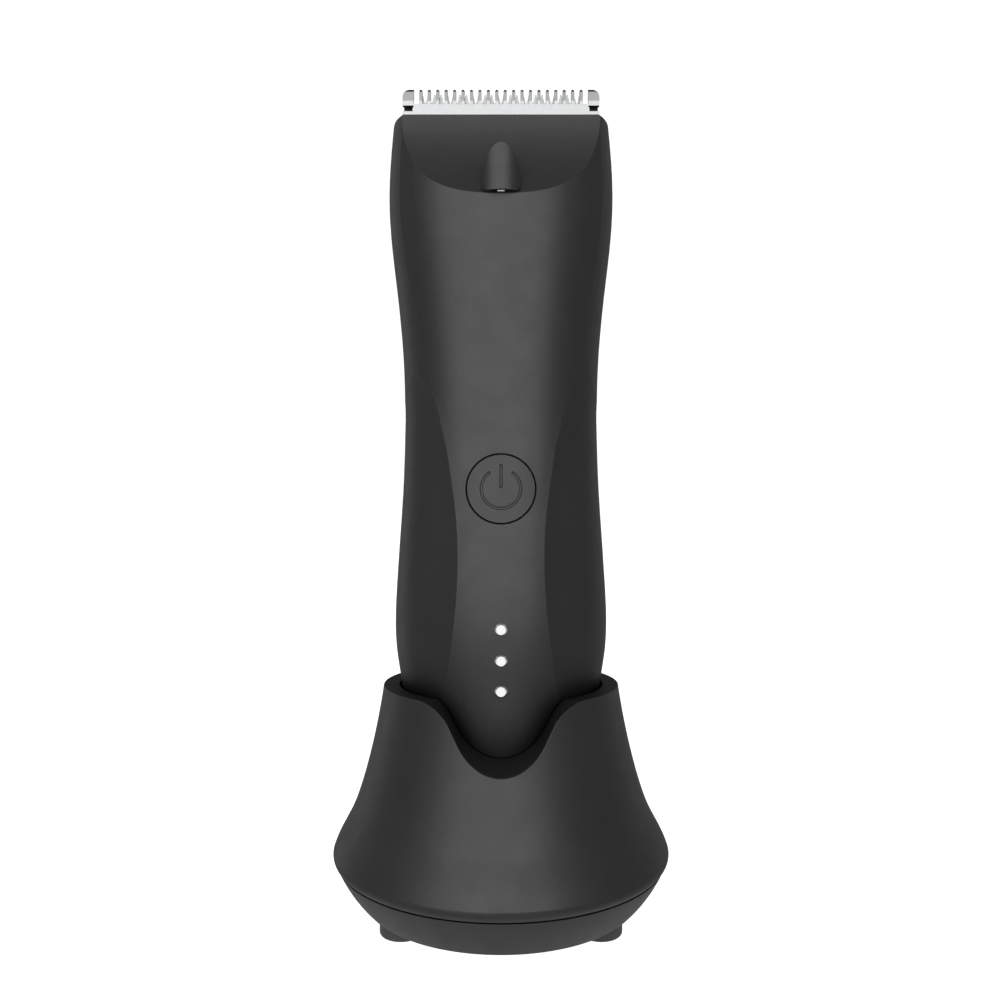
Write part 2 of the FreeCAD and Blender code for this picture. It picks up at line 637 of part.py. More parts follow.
# ---------------------------------------------------------------- inside
def make_inner_frame():
    plate = block(-10.5, 10.5, -8.4, -7.0, 21.5, 99.0)
    floor = block(-10.5, 10.5, -8.4, 9.5, 20.2, 21.6)
    shelf = block(-10.5, 10.5, -8.4, 9.5, 74.5, 76.0)
    ring = cylinder(12.2, 5.0, V(0, 0, 98.8)).cut(cylinder(MOTOR_R + 0.15, 6, V(0, 0, MOTOR_Z)))
    frame = plate.fuse(floor).fuse(shelf).fuse(ring).cut(cylinder(6.0, 10, V(0, 0, 95)))
    for side in (-1, 1):
        wall_x, boss_x = side * 9.4, side * CASE_SCREW_X
        rib = block(wall_x - 0.8, wall_x + 0.8, -7.5, 7.0, 75.5, 99.5)
        wall = block(wall_x - 0.8, wall_x + 0.8, -7.5, 6.0, 21.0, 75.0)
        post = block(side * 9.6 - 1.4, side * 9.6 + 1.4, PCB_Y + PCB_T, -8.0, 32, 35)
        boss = cylinder(2.2, 6.8, V(boss_x, 2.0, CASE_SCREW_Z), Y_AXIS)
        foot = cylinder(2.2, 3.7, V(side * CAP_SCREW_X, 0, CAP_TOP_Z - 0.1))
        frame = frame.fuse(rib).fuse(wall).fuse(post).fuse(boss).fuse(foot)
        frame = frame.cut(cylinder(1.02, 6, V(boss_x, 3.5, CASE_SCREW_Z), Y_AXIS))
        frame = frame.cut(cylinder(1.02, 6, V(side * CAP_SCREW_X, 0, 16)))
        frame = frame.cut(cylinder(0.75, 8, V(side * CONTACT_X, 0, 18)))
    for z0, z1 in LEAD_WINDOWS:
        frame = frame.cut(block(-4, 4, -9, -6, z0, z1))
    return frame.cut(cylinder(CELL_R + 0.1, CELL_LEN, V(0, CELL_Y, CELL_Z))).removeSplitter()


def make_battery_cell():
    can = cylinder(CELL_R, CELL_LEN, V(0, CELL_Y, CELL_Z))
    ends = [edge for edge in can.Edges if edge.Closed and edge.BoundBox.ZLength < 0.01]
    can = can.makeFillet(0.6, ends)
    return can.fuse(cylinder(2.8, 1.0, V(0, CELL_Y, CELL_Z + CELL_LEN - 0.1)))


def make_battery_tabs():
    low = block(-2.0, 2.0, LEAD_Y - 0.7, CELL_Y + 4, CELL_Z - 0.35, CELL_Z - 0.05)
    top_z = CELL_Z + CELL_LEN + 0.95
    high = block(-2.0, 2.0, LEAD_Y - 0.7, CELL_Y + 2, top_z, top_z + 0.3)
    return Part.makeCompound([low, high])


def lead(start, corner, end, bend, radius=0.45):
    """Insulated lead: two straight runs joined by one tangent arc of the given bend radius."""
    into = (start - corner).normalize()
    out = (end - corner).normalize()
    half = into.getAngle(out) / 2
    setback = bend / math.tan(half)
    first, last = corner + into * setback, corner + out * setback
    centre = corner + (into + out).normalize() * (bend / math.sin(half))
    middle = centre + (corner - centre).normalize() * bend
    edges = [
        Part.LineSegment(start, first).toShape(),
        Part.Arc(first, middle, last).toShape(),
        Part.LineSegment(last, end).toShape(),
    ]
    section = Part.Wire(Part.makeCircle(radius, start, corner - start))
    return Part.Wire(edges).makePipeShell([section], True, False)


def make_motor_leads():
    back = PCB_Y + PCB_T
    leads = []
    for x in (-2.5, 2.5):
        leads.append(lead(V(x, back, 94.0), V(x, -3.6, 94.0), V(x, -3.6, MOTOR_Z), 2.6))
    return Part.makeCompound(leads)


def make_battery_leads():
    back = PCB_Y + PCB_T
    top_z = CELL_Z + CELL_LEN + 0.95
    high = lead(V(-1.5, back, 70.0), V(-1.5, LEAD_Y, 70.0), V(-1.5, LEAD_Y, top_z), 1.6)
    low = lead(V(1.5, back, 28.0), V(1.5, LEAD_Y, 28.0), V(1.5, LEAD_Y, CELL_Z - 0.05), 1.6)
    return Part.makeCompound([high, low])


def make_main_board():
    return block(-PCB_HALF_W, PCB_HALF_W, PCB_Y, PCB_Y + PCB_T, PCB_Z0, PCB_Z1)


def make_board_chips():
    chips = []
    low_pair = ((-5, 36, 4, 4, 1.0), (3.5, 36, 3, 5, 1.2))
    high_pair = ((-4.5, 67, 5, 5, 0.9), (4.5, 68, 2, 3, 0.8))
    for x, z, wide, tall, deep in (*low_pair, *high_pair):
        chips.append(block(x - wide / 2, x + wide / 2, PCB_Y - deep, PCB_Y - 0.02, z, z + tall))
    return Part.makeCompound(chips)


def make_tact_switch():
    body = block(-2.6, 2.6, PCB_Y - 1.3, PCB_Y - 0.02, BUTTON_Z - 2.6, BUTTON_Z + 2.6)
    return body.fuse(cylinder(1.2, 0.8, V(0, PCB_Y - 1.9, BUTTON_Z), Y_AXIS))


def make_motor_can():
    can = cylinder(MOTOR_R, MOTOR_LEN, V(0, 0, MOTOR_Z))
    can = can.common(block(-20, 20, -MOTOR_FLAT, MOTOR_FLAT, MOTOR_Z, MOTOR_Z + MOTOR_LEN))
    boss = cylinder(3.0, 1.5, V(0, 0, MOTOR_Z + MOTOR_LEN - 0.01))
    can = can.fuse(boss)
    can = can.cut(cylinder(SHAFT_R + 0.06, 34, V(0, 0, MOTOR_Z - 1)))
    inside = cylinder(MOTOR_R - 2.6, MOTOR_LEN - 2.4, V(0, 0, MOTOR_Z + 1.2))
    return can.cut(inside.common(block(-20, 20, -6.4, 6.4, MOTOR_Z, MOTOR_Z + MOTOR_LEN)))


def make_motor_rotor():
    shaft = cylinder(SHAFT_R, 37.5, V(0, 0, MOTOR_Z + 0.2))
    core = cylinder(5.6, 16, V(0, 0, MOTOR_Z + 5.5))
    for angle in (0, 120, 240):
        slot = block(2.5, 8, -0.6, 0.6, MOTOR_Z + 5, MOTOR_Z + 22)
        slot.rotate(V(0, 0, 0), Z_AXIS, angle + 30)
        core = core.cut(slot)
    return shaft.fuse(core)


def make_motor_mount():
    z = MOTOR_Z + MOTOR_LEN + 0.05
    plate = cylinder(13.0, 1.6, V(0, 0, z)).cut(cylinder(3.1, 3, V(0, 0, z - 0.5)))
    for side in (-1, 1):
        plate = plate.cut(cylinder(0.95, 4, V(side * 6.5, 0, z - 1)))
        arm = block(side * 13.5 - 2.5, side * 13.5 + 2.5, -3, 3, z - 6, z + 1.6)
        plate = plate.fuse(arm.cut(cylinder(MOTOR_R + 0.2, 8, V(0, 0, z - 7))))
    return plate


def make_motor_screws():
    z = MOTOR_Z + MOTOR_LEN + 1.65
    screws = []
    for side in (-1, 1):
        head = cylinder(1.6, 1.0, V(side * 6.5, 0, z))
        shank = cylinder(0.8, 1.58, V(side * 6.5, 0, z - 1.57))
        screws.append(head.fuse(shank))
    return Part.makeCompound(screws)


def make_crank():
    """Eccentric on the motor shaft: hub, counterweight and crank pin at the front."""
    z = MOTOR_Z + MOTOR_LEN + 5.0
    hub = cylinder(3.6, 6.0, V(0, 0, z))
    weight = cylinder(5.4, 2.0, V(0, 0, z + 1)).common(block(-6, 6, 0, 6, z, z + 4))
    pin = cylinder(CRANK_PIN_R, 6.3, V(0, -BLADE_THROW, z + 5.9))
    bore = cylinder(SHAFT_R + 0.02, 4.8, V(0, 0, z - 0.01))
    return hub.fuse(weight).cut(bore).fuse(pin)


# ------------------------------------------------------------- cutting head
def tooth_outline(centre, half_w, root_z, tip_z):
    chamfer = half_w * 0.8
    return [
        (centre - half_w, root_z),
        (centre - half_w, tip_z - chamfer),
        (centre - half_w + chamfer * 0.7, tip_z),
        (centre + half_w - chamfer * 0.7, tip_z),
        (centre + half_w, tip_z - chamfer),
        (centre + half_w, root_z),
    ]


def make_fixed_blade():
    y0, y1 = FIXED_Y, FIXED_Y + FIXED_T
    blade = block(-FIXED_HALF_W, FIXED_HALF_W, y0, y1, 152.0, TOOTH_ROOT_Z)
    blade = blade.fuse(block(-STEM_HALF_W, STEM_HALF_W, y0, y1, HEAD_BOTTOM_Z, 152.1))
    first = -TOOTH_PITCH * (TOOTH_COUNT - 1) / 2
    root = TOOTH_ROOT_Z - 0.1
    for index in range(TOOTH_COUNT):
        outline = tooth_outline(first + index * TOOTH_PITCH, TOOTH_W / 2, root, TOOTH_TIP_Z)
        blade = blade.fuse(prism_xz(outline, y0, y1))
    for side in (-1, 1):
        end = block(-1.05, 1.05, y0, y1, root, TOOTH_TIP_Z)
        end.translate(V(side * (FIXED_HALF_W - 1.05), 0, 0))
        outer = [
            edge for edge in end.Edges
            if abs(edge.BoundBox.XMin - side * FIXED_HALF_W) < 0.01
            and edge.BoundBox.XLength < 0.01
            and edge.BoundBox.ZMin > TOOTH_TIP_Z - 0.01
        ]
        inner = [
            edge for edge in end.Edges
            if abs(edge.BoundBox.XMin - side * (FIXED_HALF_W - 2.1)) < 0.01
            and edge.BoundBox.XLength < 0.01
            and edge.BoundBox.ZMin > TOOTH_TIP_Z - 0.01
        ]
        end = end.makeFillet(1.3, outer)
        blade = blade.fuse(end)
        notch = block(0, NOTCH_DEEP, y0 - 1, y1 + 1, 152.65, 153.7)
        notch.translate(V(FIXED_HALF_W - NOTCH_DEEP if side > 0 else -FIXED_HALF_W, 0, 0))
        blade = blade.cut(notch)
        cone = Part.makeCone(1.9, 1.0, FIXED_T, V(side * 12, y0, 147.5), Y_AXIS)
        blade = blade.cut(cone)
    bevel = prism_yz_bevel(y0)
    return blade.removeSplitter().cut(bevel)


def prism_yz_bevel(y0):
    """Wedge that thins the front of the teeth towards their tips."""
    points = [V(-30, y0 - 1, 154.6), V(-30, y0, 154.6), V(-30, y0 + 0.45, 157.2), V(-30, y0 - 1, 157.2)]
    return Part.Face(Part.makePolygon(points + [points[0]])).extrude(V(60, 0, 0))


def make_moving_blade():
    y0, y1 = MOVING_Y, MOVING_Y + MOVING_T
    blade = block(-MOVING_HALF_W, MOVING_HALF_W, y0, y1, 151.7, MOVING_ROOT_Z)
    blade = blade.fuse(block(-6.5, 6.5, y0, y1, 145.0, 151.8))
    count = int(2 * MOVING_HALF_W / MOVING_PITCH)
    first = -MOVING_PITCH * (count - 1) / 2
    for index in range(count):
        x = first + index * MOVING_PITCH
        root = MOVING_ROOT_Z - 0.1
        outline = [(x - 0.52, root), (x - 0.12, MOVING_TIP_Z), (x + 0.12, MOVING_TIP_Z), (x + 0.52, root)]
        blade = blade.fuse(prism_xz(outline, y0, y1))
    for side in (-1, 1):
        blade = blade.cut(cylinder(0.8, 3, V(side * 2.6, y0 - 1, 148.6), Y_AXIS))
    return blade.removeSplitter()


def make_drive_yoke():
    """Plastic slider on the moving blade, with the slot for the crank pin."""
    y0 = MOVING_Y + MOVING_T
    pad = block(-5.0, 5.0, y0, y0 + 1.2, 145.2, 150.2)
    arm = block(-3.4, 3.4, y0 + 0.5, 2.9, 145.2, 147.4)
    slot = block(-SLOT_HALF_W, SLOT_HALF_W, -2.5, 1.5, 144, 149)
    yoke = pad.fuse(arm).cut(slot)
    for side in (-1, 1):
        yoke = yoke.fuse(cylinder(0.78, 1.0, V(side * 2.6, MOVING_Y + 0.05, 148.6), Y_AXIS))
    return yoke


def make_blade_bracket():
    flange = block(-18.2, 18.2, -6.3, 3.3, 151.5, 152.6)
    plug = block(-STEM_HALF_W, STEM_HALF_W, -6.3, 3.3, HEAD_BOTTOM_Z + 0.6, 151.6)
    plug = plug.cut(block(-7.6, 7.6, -10, 3.1, 144, 150.6))
    bracket = flange.fuse(plug)
    for side in (-1, 1):
        tab = block(-0.75, 0.75, -7.55, -6.2, 151.5, 154.3)
        tab.translate(V(side * 17.45, 0, 0))
        spacer = cylinder(2.6, 1.4, V(side * 12, -7.6, 147.5), Y_AXIS)
        bracket = bracket.fuse(tab).fuse(spacer)
        bracket = bracket.cut(cylinder(0.7, 8, V(side * 12, -8, 147.5), Y_AXIS))
        bracket = bracket.cut(block(side * 12.4 - 2.8, side * 12.4 + 2.8, -2.5, 2.0, 144, 149.5))
    bracket = bracket.fuse(block(-1.5, 1.5, SPRING_BACK_Y, -4.8, 152.5, 153.9))
    return bracket.removeSplitter()


def make_blade_screws():
    screws = []
    for side in (-1, 1):
        head = Part.makeCone(1.85, 0.98, FIXED_T - 0.05, V(side * 12, FIXED_Y + 0.03, 147.5), Y_AXIS)
        shank = cylinder(0.68, 4.0, V(side * 12, FIXED_Y + FIXED_T - 0.05, 147.5), Y_AXIS)
        slot = block(side * 12 - 1.9, side * 12 + 1.9, -9, FIXED_Y + 0.35, 147.3, 147.7)
        screws.append(head.fuse(shank).cut(slot))
    return Part.makeCompound(screws)


def make_blade_spring():
    """Bowed leaf that presses the moving blade onto the fixed one."""
    back_y, front_y = SPRING_BACK_Y - 0.2, SPRING_BACK_Y - 0.6
    ends = [V(-14.5, front_y, 152.7), V(0, back_y, 152.7), V(14.5, front_y, 152.7)]
    inner = [V(14.5, front_y + 0.2, 152.7), V(0, back_y + 0.2, 152.7), V(-14.5, front_y + 0.2, 152.7)]
    edges = [
        Part.Arc(*ends).toShape(),
        Part.makeLine(ends[2], inner[0]),
        Part.Arc(*inner).toShape(),
        Part.makeLine(inner[2], ends[0]),
    ]
    return Part.Face(Part.Wire(edges)).extrude(V(0, 0, 1.2))


def make_all():
    cutter, cutter_low = notch_cutter(0), notch_cutter(LIP_T)
    save(make_dock_shell(cutter, cutter_low), "dock_shell")
    save(make_dock_cup(cutter, cutter_low), "dock_cup")
    save(make_dock_base(), "dock_base")
    save(make_dock_feet(), "dock_feet")
    save(make_dock_screws(), "dock_screws")
    save(make_dock_weight(), "dock_weight")
    save(make_dock_board(), "dock_board")
    save(make_usb_socket(), "dock_usb_socket")
    save(make_contact_sleeve(), "contact_sleeves")
    for side, name in ((-1, "left"), (1, "right")):
        save(make_contact_pin(side), "contact_pin_" + name)
        save(make_contact_spring(side), "contact_spring_" + name)

    body = housing_solid()
    save(make_front_housing(body), "front_housing")
    save(make_rear_housing(body), "rear_housing")
    save(make_end_cap(), "end_cap")
    save(make_cap_seal(), "end_cap_seal")
    save(make_cap_screws(), "end_cap_screws")
    save(make_housing_screws(), "housing_screws")
    save(make_charge_contacts(), "charge_contacts")
    save(make_power_button(), "power_button")
    save(make_button_seal(), "button_seal")
    save(make_light_guide(), "light_guide")
    save(make_indicator_leds(), "indicator_leds")
    save(make_lamp_lens(), "lamp_lens")
    save(make_lamp_board(), "lamp_board")
    save(make_inner_frame(), "inner_frame")
    save(make_battery_cell(), "battery_cell")
    save(make_battery_tabs(), "battery_tabs")
    save(make_battery_leads(), "battery_leads")
    save(make_motor_leads(), "motor_leads")
    save(make_main_board(), "main_board")
    save(make_board_chips(), "board_chips")
    save(make_tact_switch(), "tact_switch")
    save(make_motor_can(), "motor_can")
    save(make_motor_rotor(), "motor_rotor")
    save(make_motor_mount(), "motor_mount")
    save(make_motor_screws(), "motor_screws")
    save(make_crank(), "crank")

    save(make_fixed_blade(), "fixed_blade")
    save(make_moving_blade(), "moving_blade")
    save(make_drive_yoke(), "drive_yoke")
    save(make_blade_bracket(), "blade_bracket")
    save(make_blade_screws(), "blade_screws")
    save(make_blade_spring(), "blade_spring")


os.makedirs("parts", exist_ok=True)
make_all()
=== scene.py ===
import json
import math

import bpy
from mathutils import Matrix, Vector


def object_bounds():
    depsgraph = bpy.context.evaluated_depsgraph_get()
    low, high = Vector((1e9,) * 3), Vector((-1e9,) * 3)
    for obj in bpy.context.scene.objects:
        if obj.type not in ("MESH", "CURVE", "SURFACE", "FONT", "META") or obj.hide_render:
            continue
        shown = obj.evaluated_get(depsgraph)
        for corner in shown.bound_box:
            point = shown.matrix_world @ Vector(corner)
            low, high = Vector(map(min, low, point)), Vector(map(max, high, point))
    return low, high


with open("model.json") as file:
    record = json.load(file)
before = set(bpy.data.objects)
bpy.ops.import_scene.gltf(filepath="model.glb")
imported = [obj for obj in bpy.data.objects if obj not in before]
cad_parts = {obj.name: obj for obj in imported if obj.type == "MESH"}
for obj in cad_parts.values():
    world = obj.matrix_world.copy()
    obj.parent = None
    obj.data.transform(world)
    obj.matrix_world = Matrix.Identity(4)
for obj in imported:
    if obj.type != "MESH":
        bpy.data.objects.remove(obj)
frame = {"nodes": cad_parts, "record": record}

# Looks of the body groomer in its charging dock. Metres, in the CAD frame: +Z up, front faces -Y.

CAD_BOX = [list(corner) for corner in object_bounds()]
MM = 0.001
TOP_Z = CAD_BOX[1][2]
NODES = frame["nodes"]

# Sockets of the colour mix node, which carries one set for each data type.
MIX_FACTOR, MIX_FIRST, MIX_SECOND, MIX_RESULT = 0, 6, 7, 2

BLACK, WHITE = (0.0, 0.0, 0.0), (1.0, 1.0, 1.0)

# Camera, level with the middle of the object. The shift centres it in the picture.
LENS_MM, SENSOR_MM, SHIFT_X = 34.0, 36.0, -0.001
CAMERA_PLACE = (0.0, -0.185, 0.080)
NEAR_CLIP = 0.01

# Each light: name, place, width, height, watts. All of them look at the middle of the object.
LIGHT_TARGET = (0, 0, 0.08)
LIGHTS = (
    ("front_softbox", (-0.10, -0.85, 0.36), 1.50, 0.8, 9.4),
    ("left_strip", (-0.70, 0.50, 0.20), 0.40, 0.9, 0.36),
    ("right_strip", (0.70, 0.50, 0.20), 0.40, 0.9, 0.12),
)

# World strengths: the ground the camera sees, the sky that lights, and the glow from below.
SEEN_STRENGTH, SKY_STRENGTH, TABLE_STRENGTH = 1.1, 0.22, 0.62
GLOW_FULL, GLOW_GONE = -0.9, -0.3
FLOOR_HALF = 6.0


# ------------------------------------------------------------------ node helpers
class Surface:
    """A node material under construction: one Principled shader and short calls that feed it."""

    def __init__(self, name, **sockets):
        self.material = bpy.data.materials.new(name)
        self.material.use_nodes = True
        self.tree = self.material.node_tree
        self.tree.nodes.clear()
        self.shader = self.node("ShaderNodeBsdfPrincipled")
        output = self.node("ShaderNodeOutputMaterial")
        self.link(self.shader.outputs["BSDF"], output.inputs["Surface"])
        for socket, value in sockets.items():
            self.shader.inputs[socket.replace("_", " ")].default_value = value
        self.place = self.node("ShaderNodeTexCoord").outputs["Object"]

    def node(self, kind, **settings):
        made = self.tree.nodes.new(kind)
        for key, value in settings.items():
            setattr(made, key, value)
        return made

    def link(self, source, target):
        self.tree.links.new(source, target)

    def feed(self, socket, source):
        self.link(source, self.shader.inputs[socket])

    def stretched(self, scale):
        mapping = self.node("ShaderNodeMapping")
        mapping.inputs["Scale"].default_value = scale
        self.link(self.place, mapping.inputs["Vector"])
        return mapping.outputs["Vector"]

    def noise(self, scale, detail=2.0, rough=0.5, vector=None):
        made = self.node("ShaderNodeTexNoise")
        made.inputs["Scale"].default_value = scale
        made.inputs["Detail"].default_value = detail
        made.inputs["Roughness"].default_value = rough
        self.link(vector or self.place, made.inputs["Vector"])
        return made.outputs["Fac"]

    def cells(self, scale, feature="F1"):
        made = self.node("ShaderNodeTexVoronoi", feature=feature)
        made.inputs["Scale"].default_value = scale
        self.link(self.place, made.inputs["Vector"])
        return made.outputs["Distance"]

    def ramp(self, source, stops):
        made = self.node("ShaderNodeValToRGB")
        ramp = made.color_ramp
        while len(ramp.elements) < len(stops):
            ramp.elements.new(0.5)
        for element, (position, colour) in zip(ramp.elements, stops):
            element.position = position
            element.color = (*colour, 1.0)
        self.link(source, made.inputs["Fac"])
        return made.outputs["Color"]

    def spread(self, source, low, high, start=0.3, end=0.7):
        made = self.node("ShaderNodeMapRange")
        for key, value in (("From Min", start), ("From Max", end), ("To Min", low), ("To Max", high)):
            made.inputs[key].default_value = value
        self.link(source, made.inputs["Value"])
        return made.outputs["Result"]

    def math(self, operation, first, second):
        made = self.node("ShaderNodeMath", operation=operation)
        for index, value in enumerate((first, second)):
            if isinstance(value, (int, float)):
                made.inputs[index].default_value = value
            else:
                self.link(value, made.inputs[index])
        return made.outputs[0]

    def mix(self, factor, first, second):
        made = self.node("ShaderNodeMix", data_type="RGBA", blend_type="MIX")
        for key, value in ((MIX_FACTOR, factor), (MIX_FIRST, first), (MIX_SECOND, second)):
            if isinstance(value, (int, float)):
                made.inputs[key].default_value = value
            elif isinstance(value, tuple):
                made.inputs[key].default_value = (*value, 1.0)
            else:
                self.link(value, made.inputs[key])
        return made.outputs[MIX_RESULT]

    def bump(self, height, strength, distance, normal=None):
        made = self.node("ShaderNodeBump")
        made.inputs["Strength"].default_value = strength
        made.inputs["Distance"].default_value = distance
        self.link(height, made.inputs["Height"])
        if normal is not None:
            self.link(normal, made.inputs["Normal"])
        return made.outputs["Normal"]

    def soft_edge(self, radius):
        made = self.node("ShaderNodeBevel", samples=4)
        made.inputs["Radius"].default_value = radius
        return made.outputs["Normal"]

    def openness(self, distance, power):
        """Ambient occlusion: 1 in the open, towards 0 deep in a gap or hollow; the materials paint shade
        with it.
        """
        made = self.node("ShaderNodeAmbientOcclusion", samples=6)
        made.inputs["Distance"].default_value = distance
        return self.math("POWER", made.outputs["AO"], power)

    def height(self):
        made = self.node("ShaderNodeSeparateXYZ")
        self.link(self.place, made.inputs["Vector"])
        return made.outputs["Z"]

    def edge_mask(self, normal):
        """0 on flat ground, towards 1 on a convex or concave edge."""
        dot = self.node("ShaderNodeVectorMath", operation="DOT_PRODUCT")
        self.link(normal, dot.inputs[0])
        self.link(self.node("ShaderNodeNewGeometry").outputs["Normal"], dot.inputs[1])
        return self.math("SUBTRACT", 1.0, dot.outputs["Value"])


# ------------------------------------------------------------------ materials
def moulded(name, dark, light, rough, edge=0.12, shade=1.0, shine=2.0, reach=9.0, calm=None):
    """Fine-grained moulded plastic: soft mottling, spark-eroded grain, painted highlights on edges and
    painted shade in hollows.

    Edges of the width edge (mm) are shine times lighter: a painted highlight. Hollows get painted shade:
    colour and specular level darken by the power shade, over a reach in mm; calm names two heights (mm)
    between which that painted shade fades out.
    """
    s = Surface(name, IOR=1.50)
    mottle = s.noise(70.0, 3.0, 0.55)
    speckle = s.noise(5200.0, 1.0)
    tone = s.ramp(mottle, [(0.25, dark), (0.75, light)])
    tone = s.mix(0.10, tone, s.ramp(speckle, [(0.3, BLACK), (0.7, tuple(3 * c for c in light))]))
    edge_normal = s.soft_edge(edge * MM)
    # Painted highlight: convex and concave edges are painted up to shine times lighter.
    painted_edge_highlight = s.spread(s.edge_mask(edge_normal), 0.0, 0.8, 0.02, 0.30)
    tone = s.mix(painted_edge_highlight, tone, tuple(shine * c for c in light))
    # Painted shade: ambient occlusion darkens the colour towards black, and the specular level, in hollows
    # and gaps.
    painted_shade_factor = s.openness(reach * MM, shade)
    if calm is not None:
        # The painted shade fades out between the two calm heights.
        fade = s.spread(s.height(), 0.0, 1.0, calm[0] * MM, calm[1] * MM)
        painted_shade_factor = s.math("MAXIMUM", painted_shade_factor, fade)
    s.feed("Base Color", s.mix(painted_shade_factor, (0.0005, 0.0005, 0.0005), tone))
    s.feed("Specular IOR Level", s.math("MULTIPLY", painted_shade_factor, 0.5))
    s.feed("Roughness", s.spread(s.noise(240.0, 2.0), rough - 0.03, rough + 0.03))
    pits = s.math("ADD", s.noise(6800.0, 2.0, 0.6), s.cells(4200.0, "SMOOTH_F1"))
    s.feed("Normal", s.bump(pits, 0.5, 0.012 * MM, edge_normal))
    return s.material


def ground_steel(name, base, along, rough, dark_above=1.0):
    """Satin ground metal with fine lines along one axis, and tips painted dark above one height: a painted
    dark reflection.
    """
    s = Surface(name, Metallic=1.0)
    stretch = [1.0, 1.0, 1.0]
    stretch["xyz".index(along)] = 0.04
    lines = s.noise(9000.0, 2.0, 0.6, s.stretched(tuple(stretch)))
    broad = s.noise(260.0, 3.0)
    tone = s.ramp(lines, [(0.3, tuple(0.9 * c for c in base)), (0.7, base)])
    tone = s.mix(s.spread(broad, 0.0, 0.15), tone, tuple(0.86 * c for c in base))
    # Painted reflection: the tooth tips above dark_above are painted near black.
    tip = s.spread(s.height(), 0.0, 1.0, dark_above - 0.05 * MM, dark_above)
    s.feed("Base Color", s.mix(tip, tone, (0.02, 0.02, 0.02)))
    s.feed("Roughness", s.spread(lines, rough - 0.06, rough + 0.08))
    s.feed("Normal", s.bump(lines, 0.35, 0.008 * MM, s.soft_edge(0.06 * MM)))
    return s.material


def turned_metal(name, base, rough=0.3):
    """Plated or turned small metal part with slight tarnish."""
    s = Surface(name, Metallic=1.0)
    tarnish = s.noise(900.0, 4.0, 0.6)
    rings = s.noise(12000.0, 1.0, 0.5, s.stretched((1.0, 1.0, 0.25)))
    s.feed("Base Color", s.ramp(tarnish, [(0.3, tuple(0.72 * c for c in base)), (0.65, base)]))
    s.feed("Roughness", s.spread(tarnish, rough + 0.12, rough - 0.05))
    s.feed("Normal", s.bump(rings, 0.3, 0.006 * MM, s.soft_edge(0.05 * MM)))
    return s.material


def soft_rubber(name, tone):
    """Matt rubber with dust in its fine cell pattern."""
    s = Surface(name, Roughness=0.78, IOR=1.45, Sheen_Weight=0.15, Sheen_Roughness=0.5)
    dust = s.noise(350.0, 4.0, 0.6)
    s.feed("Base Color", s.ramp(dust, [(0.3, tone), (0.8, tuple(1.9 * c for c in tone))]))
    s.feed("Normal", s.bump(s.cells(2600.0), 0.35, 0.02 * MM, s.soft_edge(0.15 * MM)))
    return s.material


def circuit_board(name):
    """Green solder mask with lighter lacquered tracks and a weave under it."""
    s = Surface(name, IOR=1.55, Coat_Weight=0.4, Coat_Roughness=0.15)
    tracks = s.node("ShaderNodeTexBrick", offset=0.37, squash=0.6)
    tracks.inputs["Scale"].default_value = 420.0
    tracks.inputs["Mortar Size"].default_value = 0.03
    tracks.inputs["Color1"].default_value = (0.012, 0.085, 0.035, 1)
    tracks.inputs["Color2"].default_value = (0.016, 0.11, 0.045, 1)
    tracks.inputs["Mortar"].default_value = (0.03, 0.19, 0.075, 1)
    s.link(s.place, tracks.inputs["Vector"])
    weave = s.noise(3000.0, 1.0)
    cloth = s.ramp(weave, [(0.3, BLACK), (0.7, (0.05, 0.25, 0.1))])
    s.feed("Base Color", s.mix(0.12, tracks.outputs["Color"], cloth))
    s.feed("Roughness", s.spread(weave, 0.25, 0.4))
    s.feed("Normal", s.bump(tracks.outputs["Fac"], 0.3, 0.02 * MM))
    return s.material


def shrink_wrap(name, base):
    """Glossy plastic skin with slight ripples, for the cell and the leads."""
    s = Surface(name, IOR=1.5, Coat_Weight=0.5, Coat_Roughness=0.12)
    ripple = s.noise(500.0, 3.0, 0.5, s.stretched((1.0, 1.0, 0.15)))
    s.feed("Base Color", s.ramp(ripple, [(0.2, tuple(0.75 * c for c in base)), (0.8, base)]))
    s.feed("Roughness", s.spread(ripple, 0.3, 0.42))
    s.feed("Normal", s.bump(ripple, 0.25, 0.05 * MM))
    return s.material


def clear_white(name, glow):
    """Milky light guide: white, slightly translucent, lit from behind, with painted shade darkening its
    colour and glow down its narrow gap.
    """
    s = Surface(name, IOR=1.5, Subsurface_Weight=0.2)
    # Painted shade: ambient occlusion darkens the colour and dims the glow in the narrow gap.
    painted_shade_factor = s.openness(0.5 * MM, 3.0)
    s.feed("Emission Strength", s.math("MULTIPLY", painted_shade_factor, glow))
    s.shader.inputs["Subsurface Radius"].default_value = (0.001, 0.001, 0.001)
    s.shader.inputs["Emission Color"].default_value = (*WHITE, 1.0)
    haze = s.noise(900.0, 3.0)
    white = s.ramp(haze, [(0.3, (0.54, 0.55, 0.55)), (0.7, (0.58, 0.58, 0.58))])
    s.feed("Base Color", s.mix(painted_shade_factor, (0.01, 0.01, 0.01), white))
    s.feed("Roughness", s.spread(haze, 0.18, 0.3))
    s.feed("Normal", s.bump(haze, 0.1, 0.01 * MM, s.soft_edge(0.1 * MM)))
    return s.material


def cast_weight(name):
    """Rough dark casting."""
    s = Surface(name, Metallic=0.8)
    skin = s.noise(700.0, 5.0, 0.7)
    s.feed("Base Color", s.ramp(skin, [(0.3, (0.06, 0.055, 0.05)), (0.7, (0.2, 0.19, 0.18))]))
    s.feed("Roughness", s.spread(skin, 0.5, 0.75))
    s.feed("Normal", s.bump(skin, 0.6, 0.05 * MM))
    return s.material


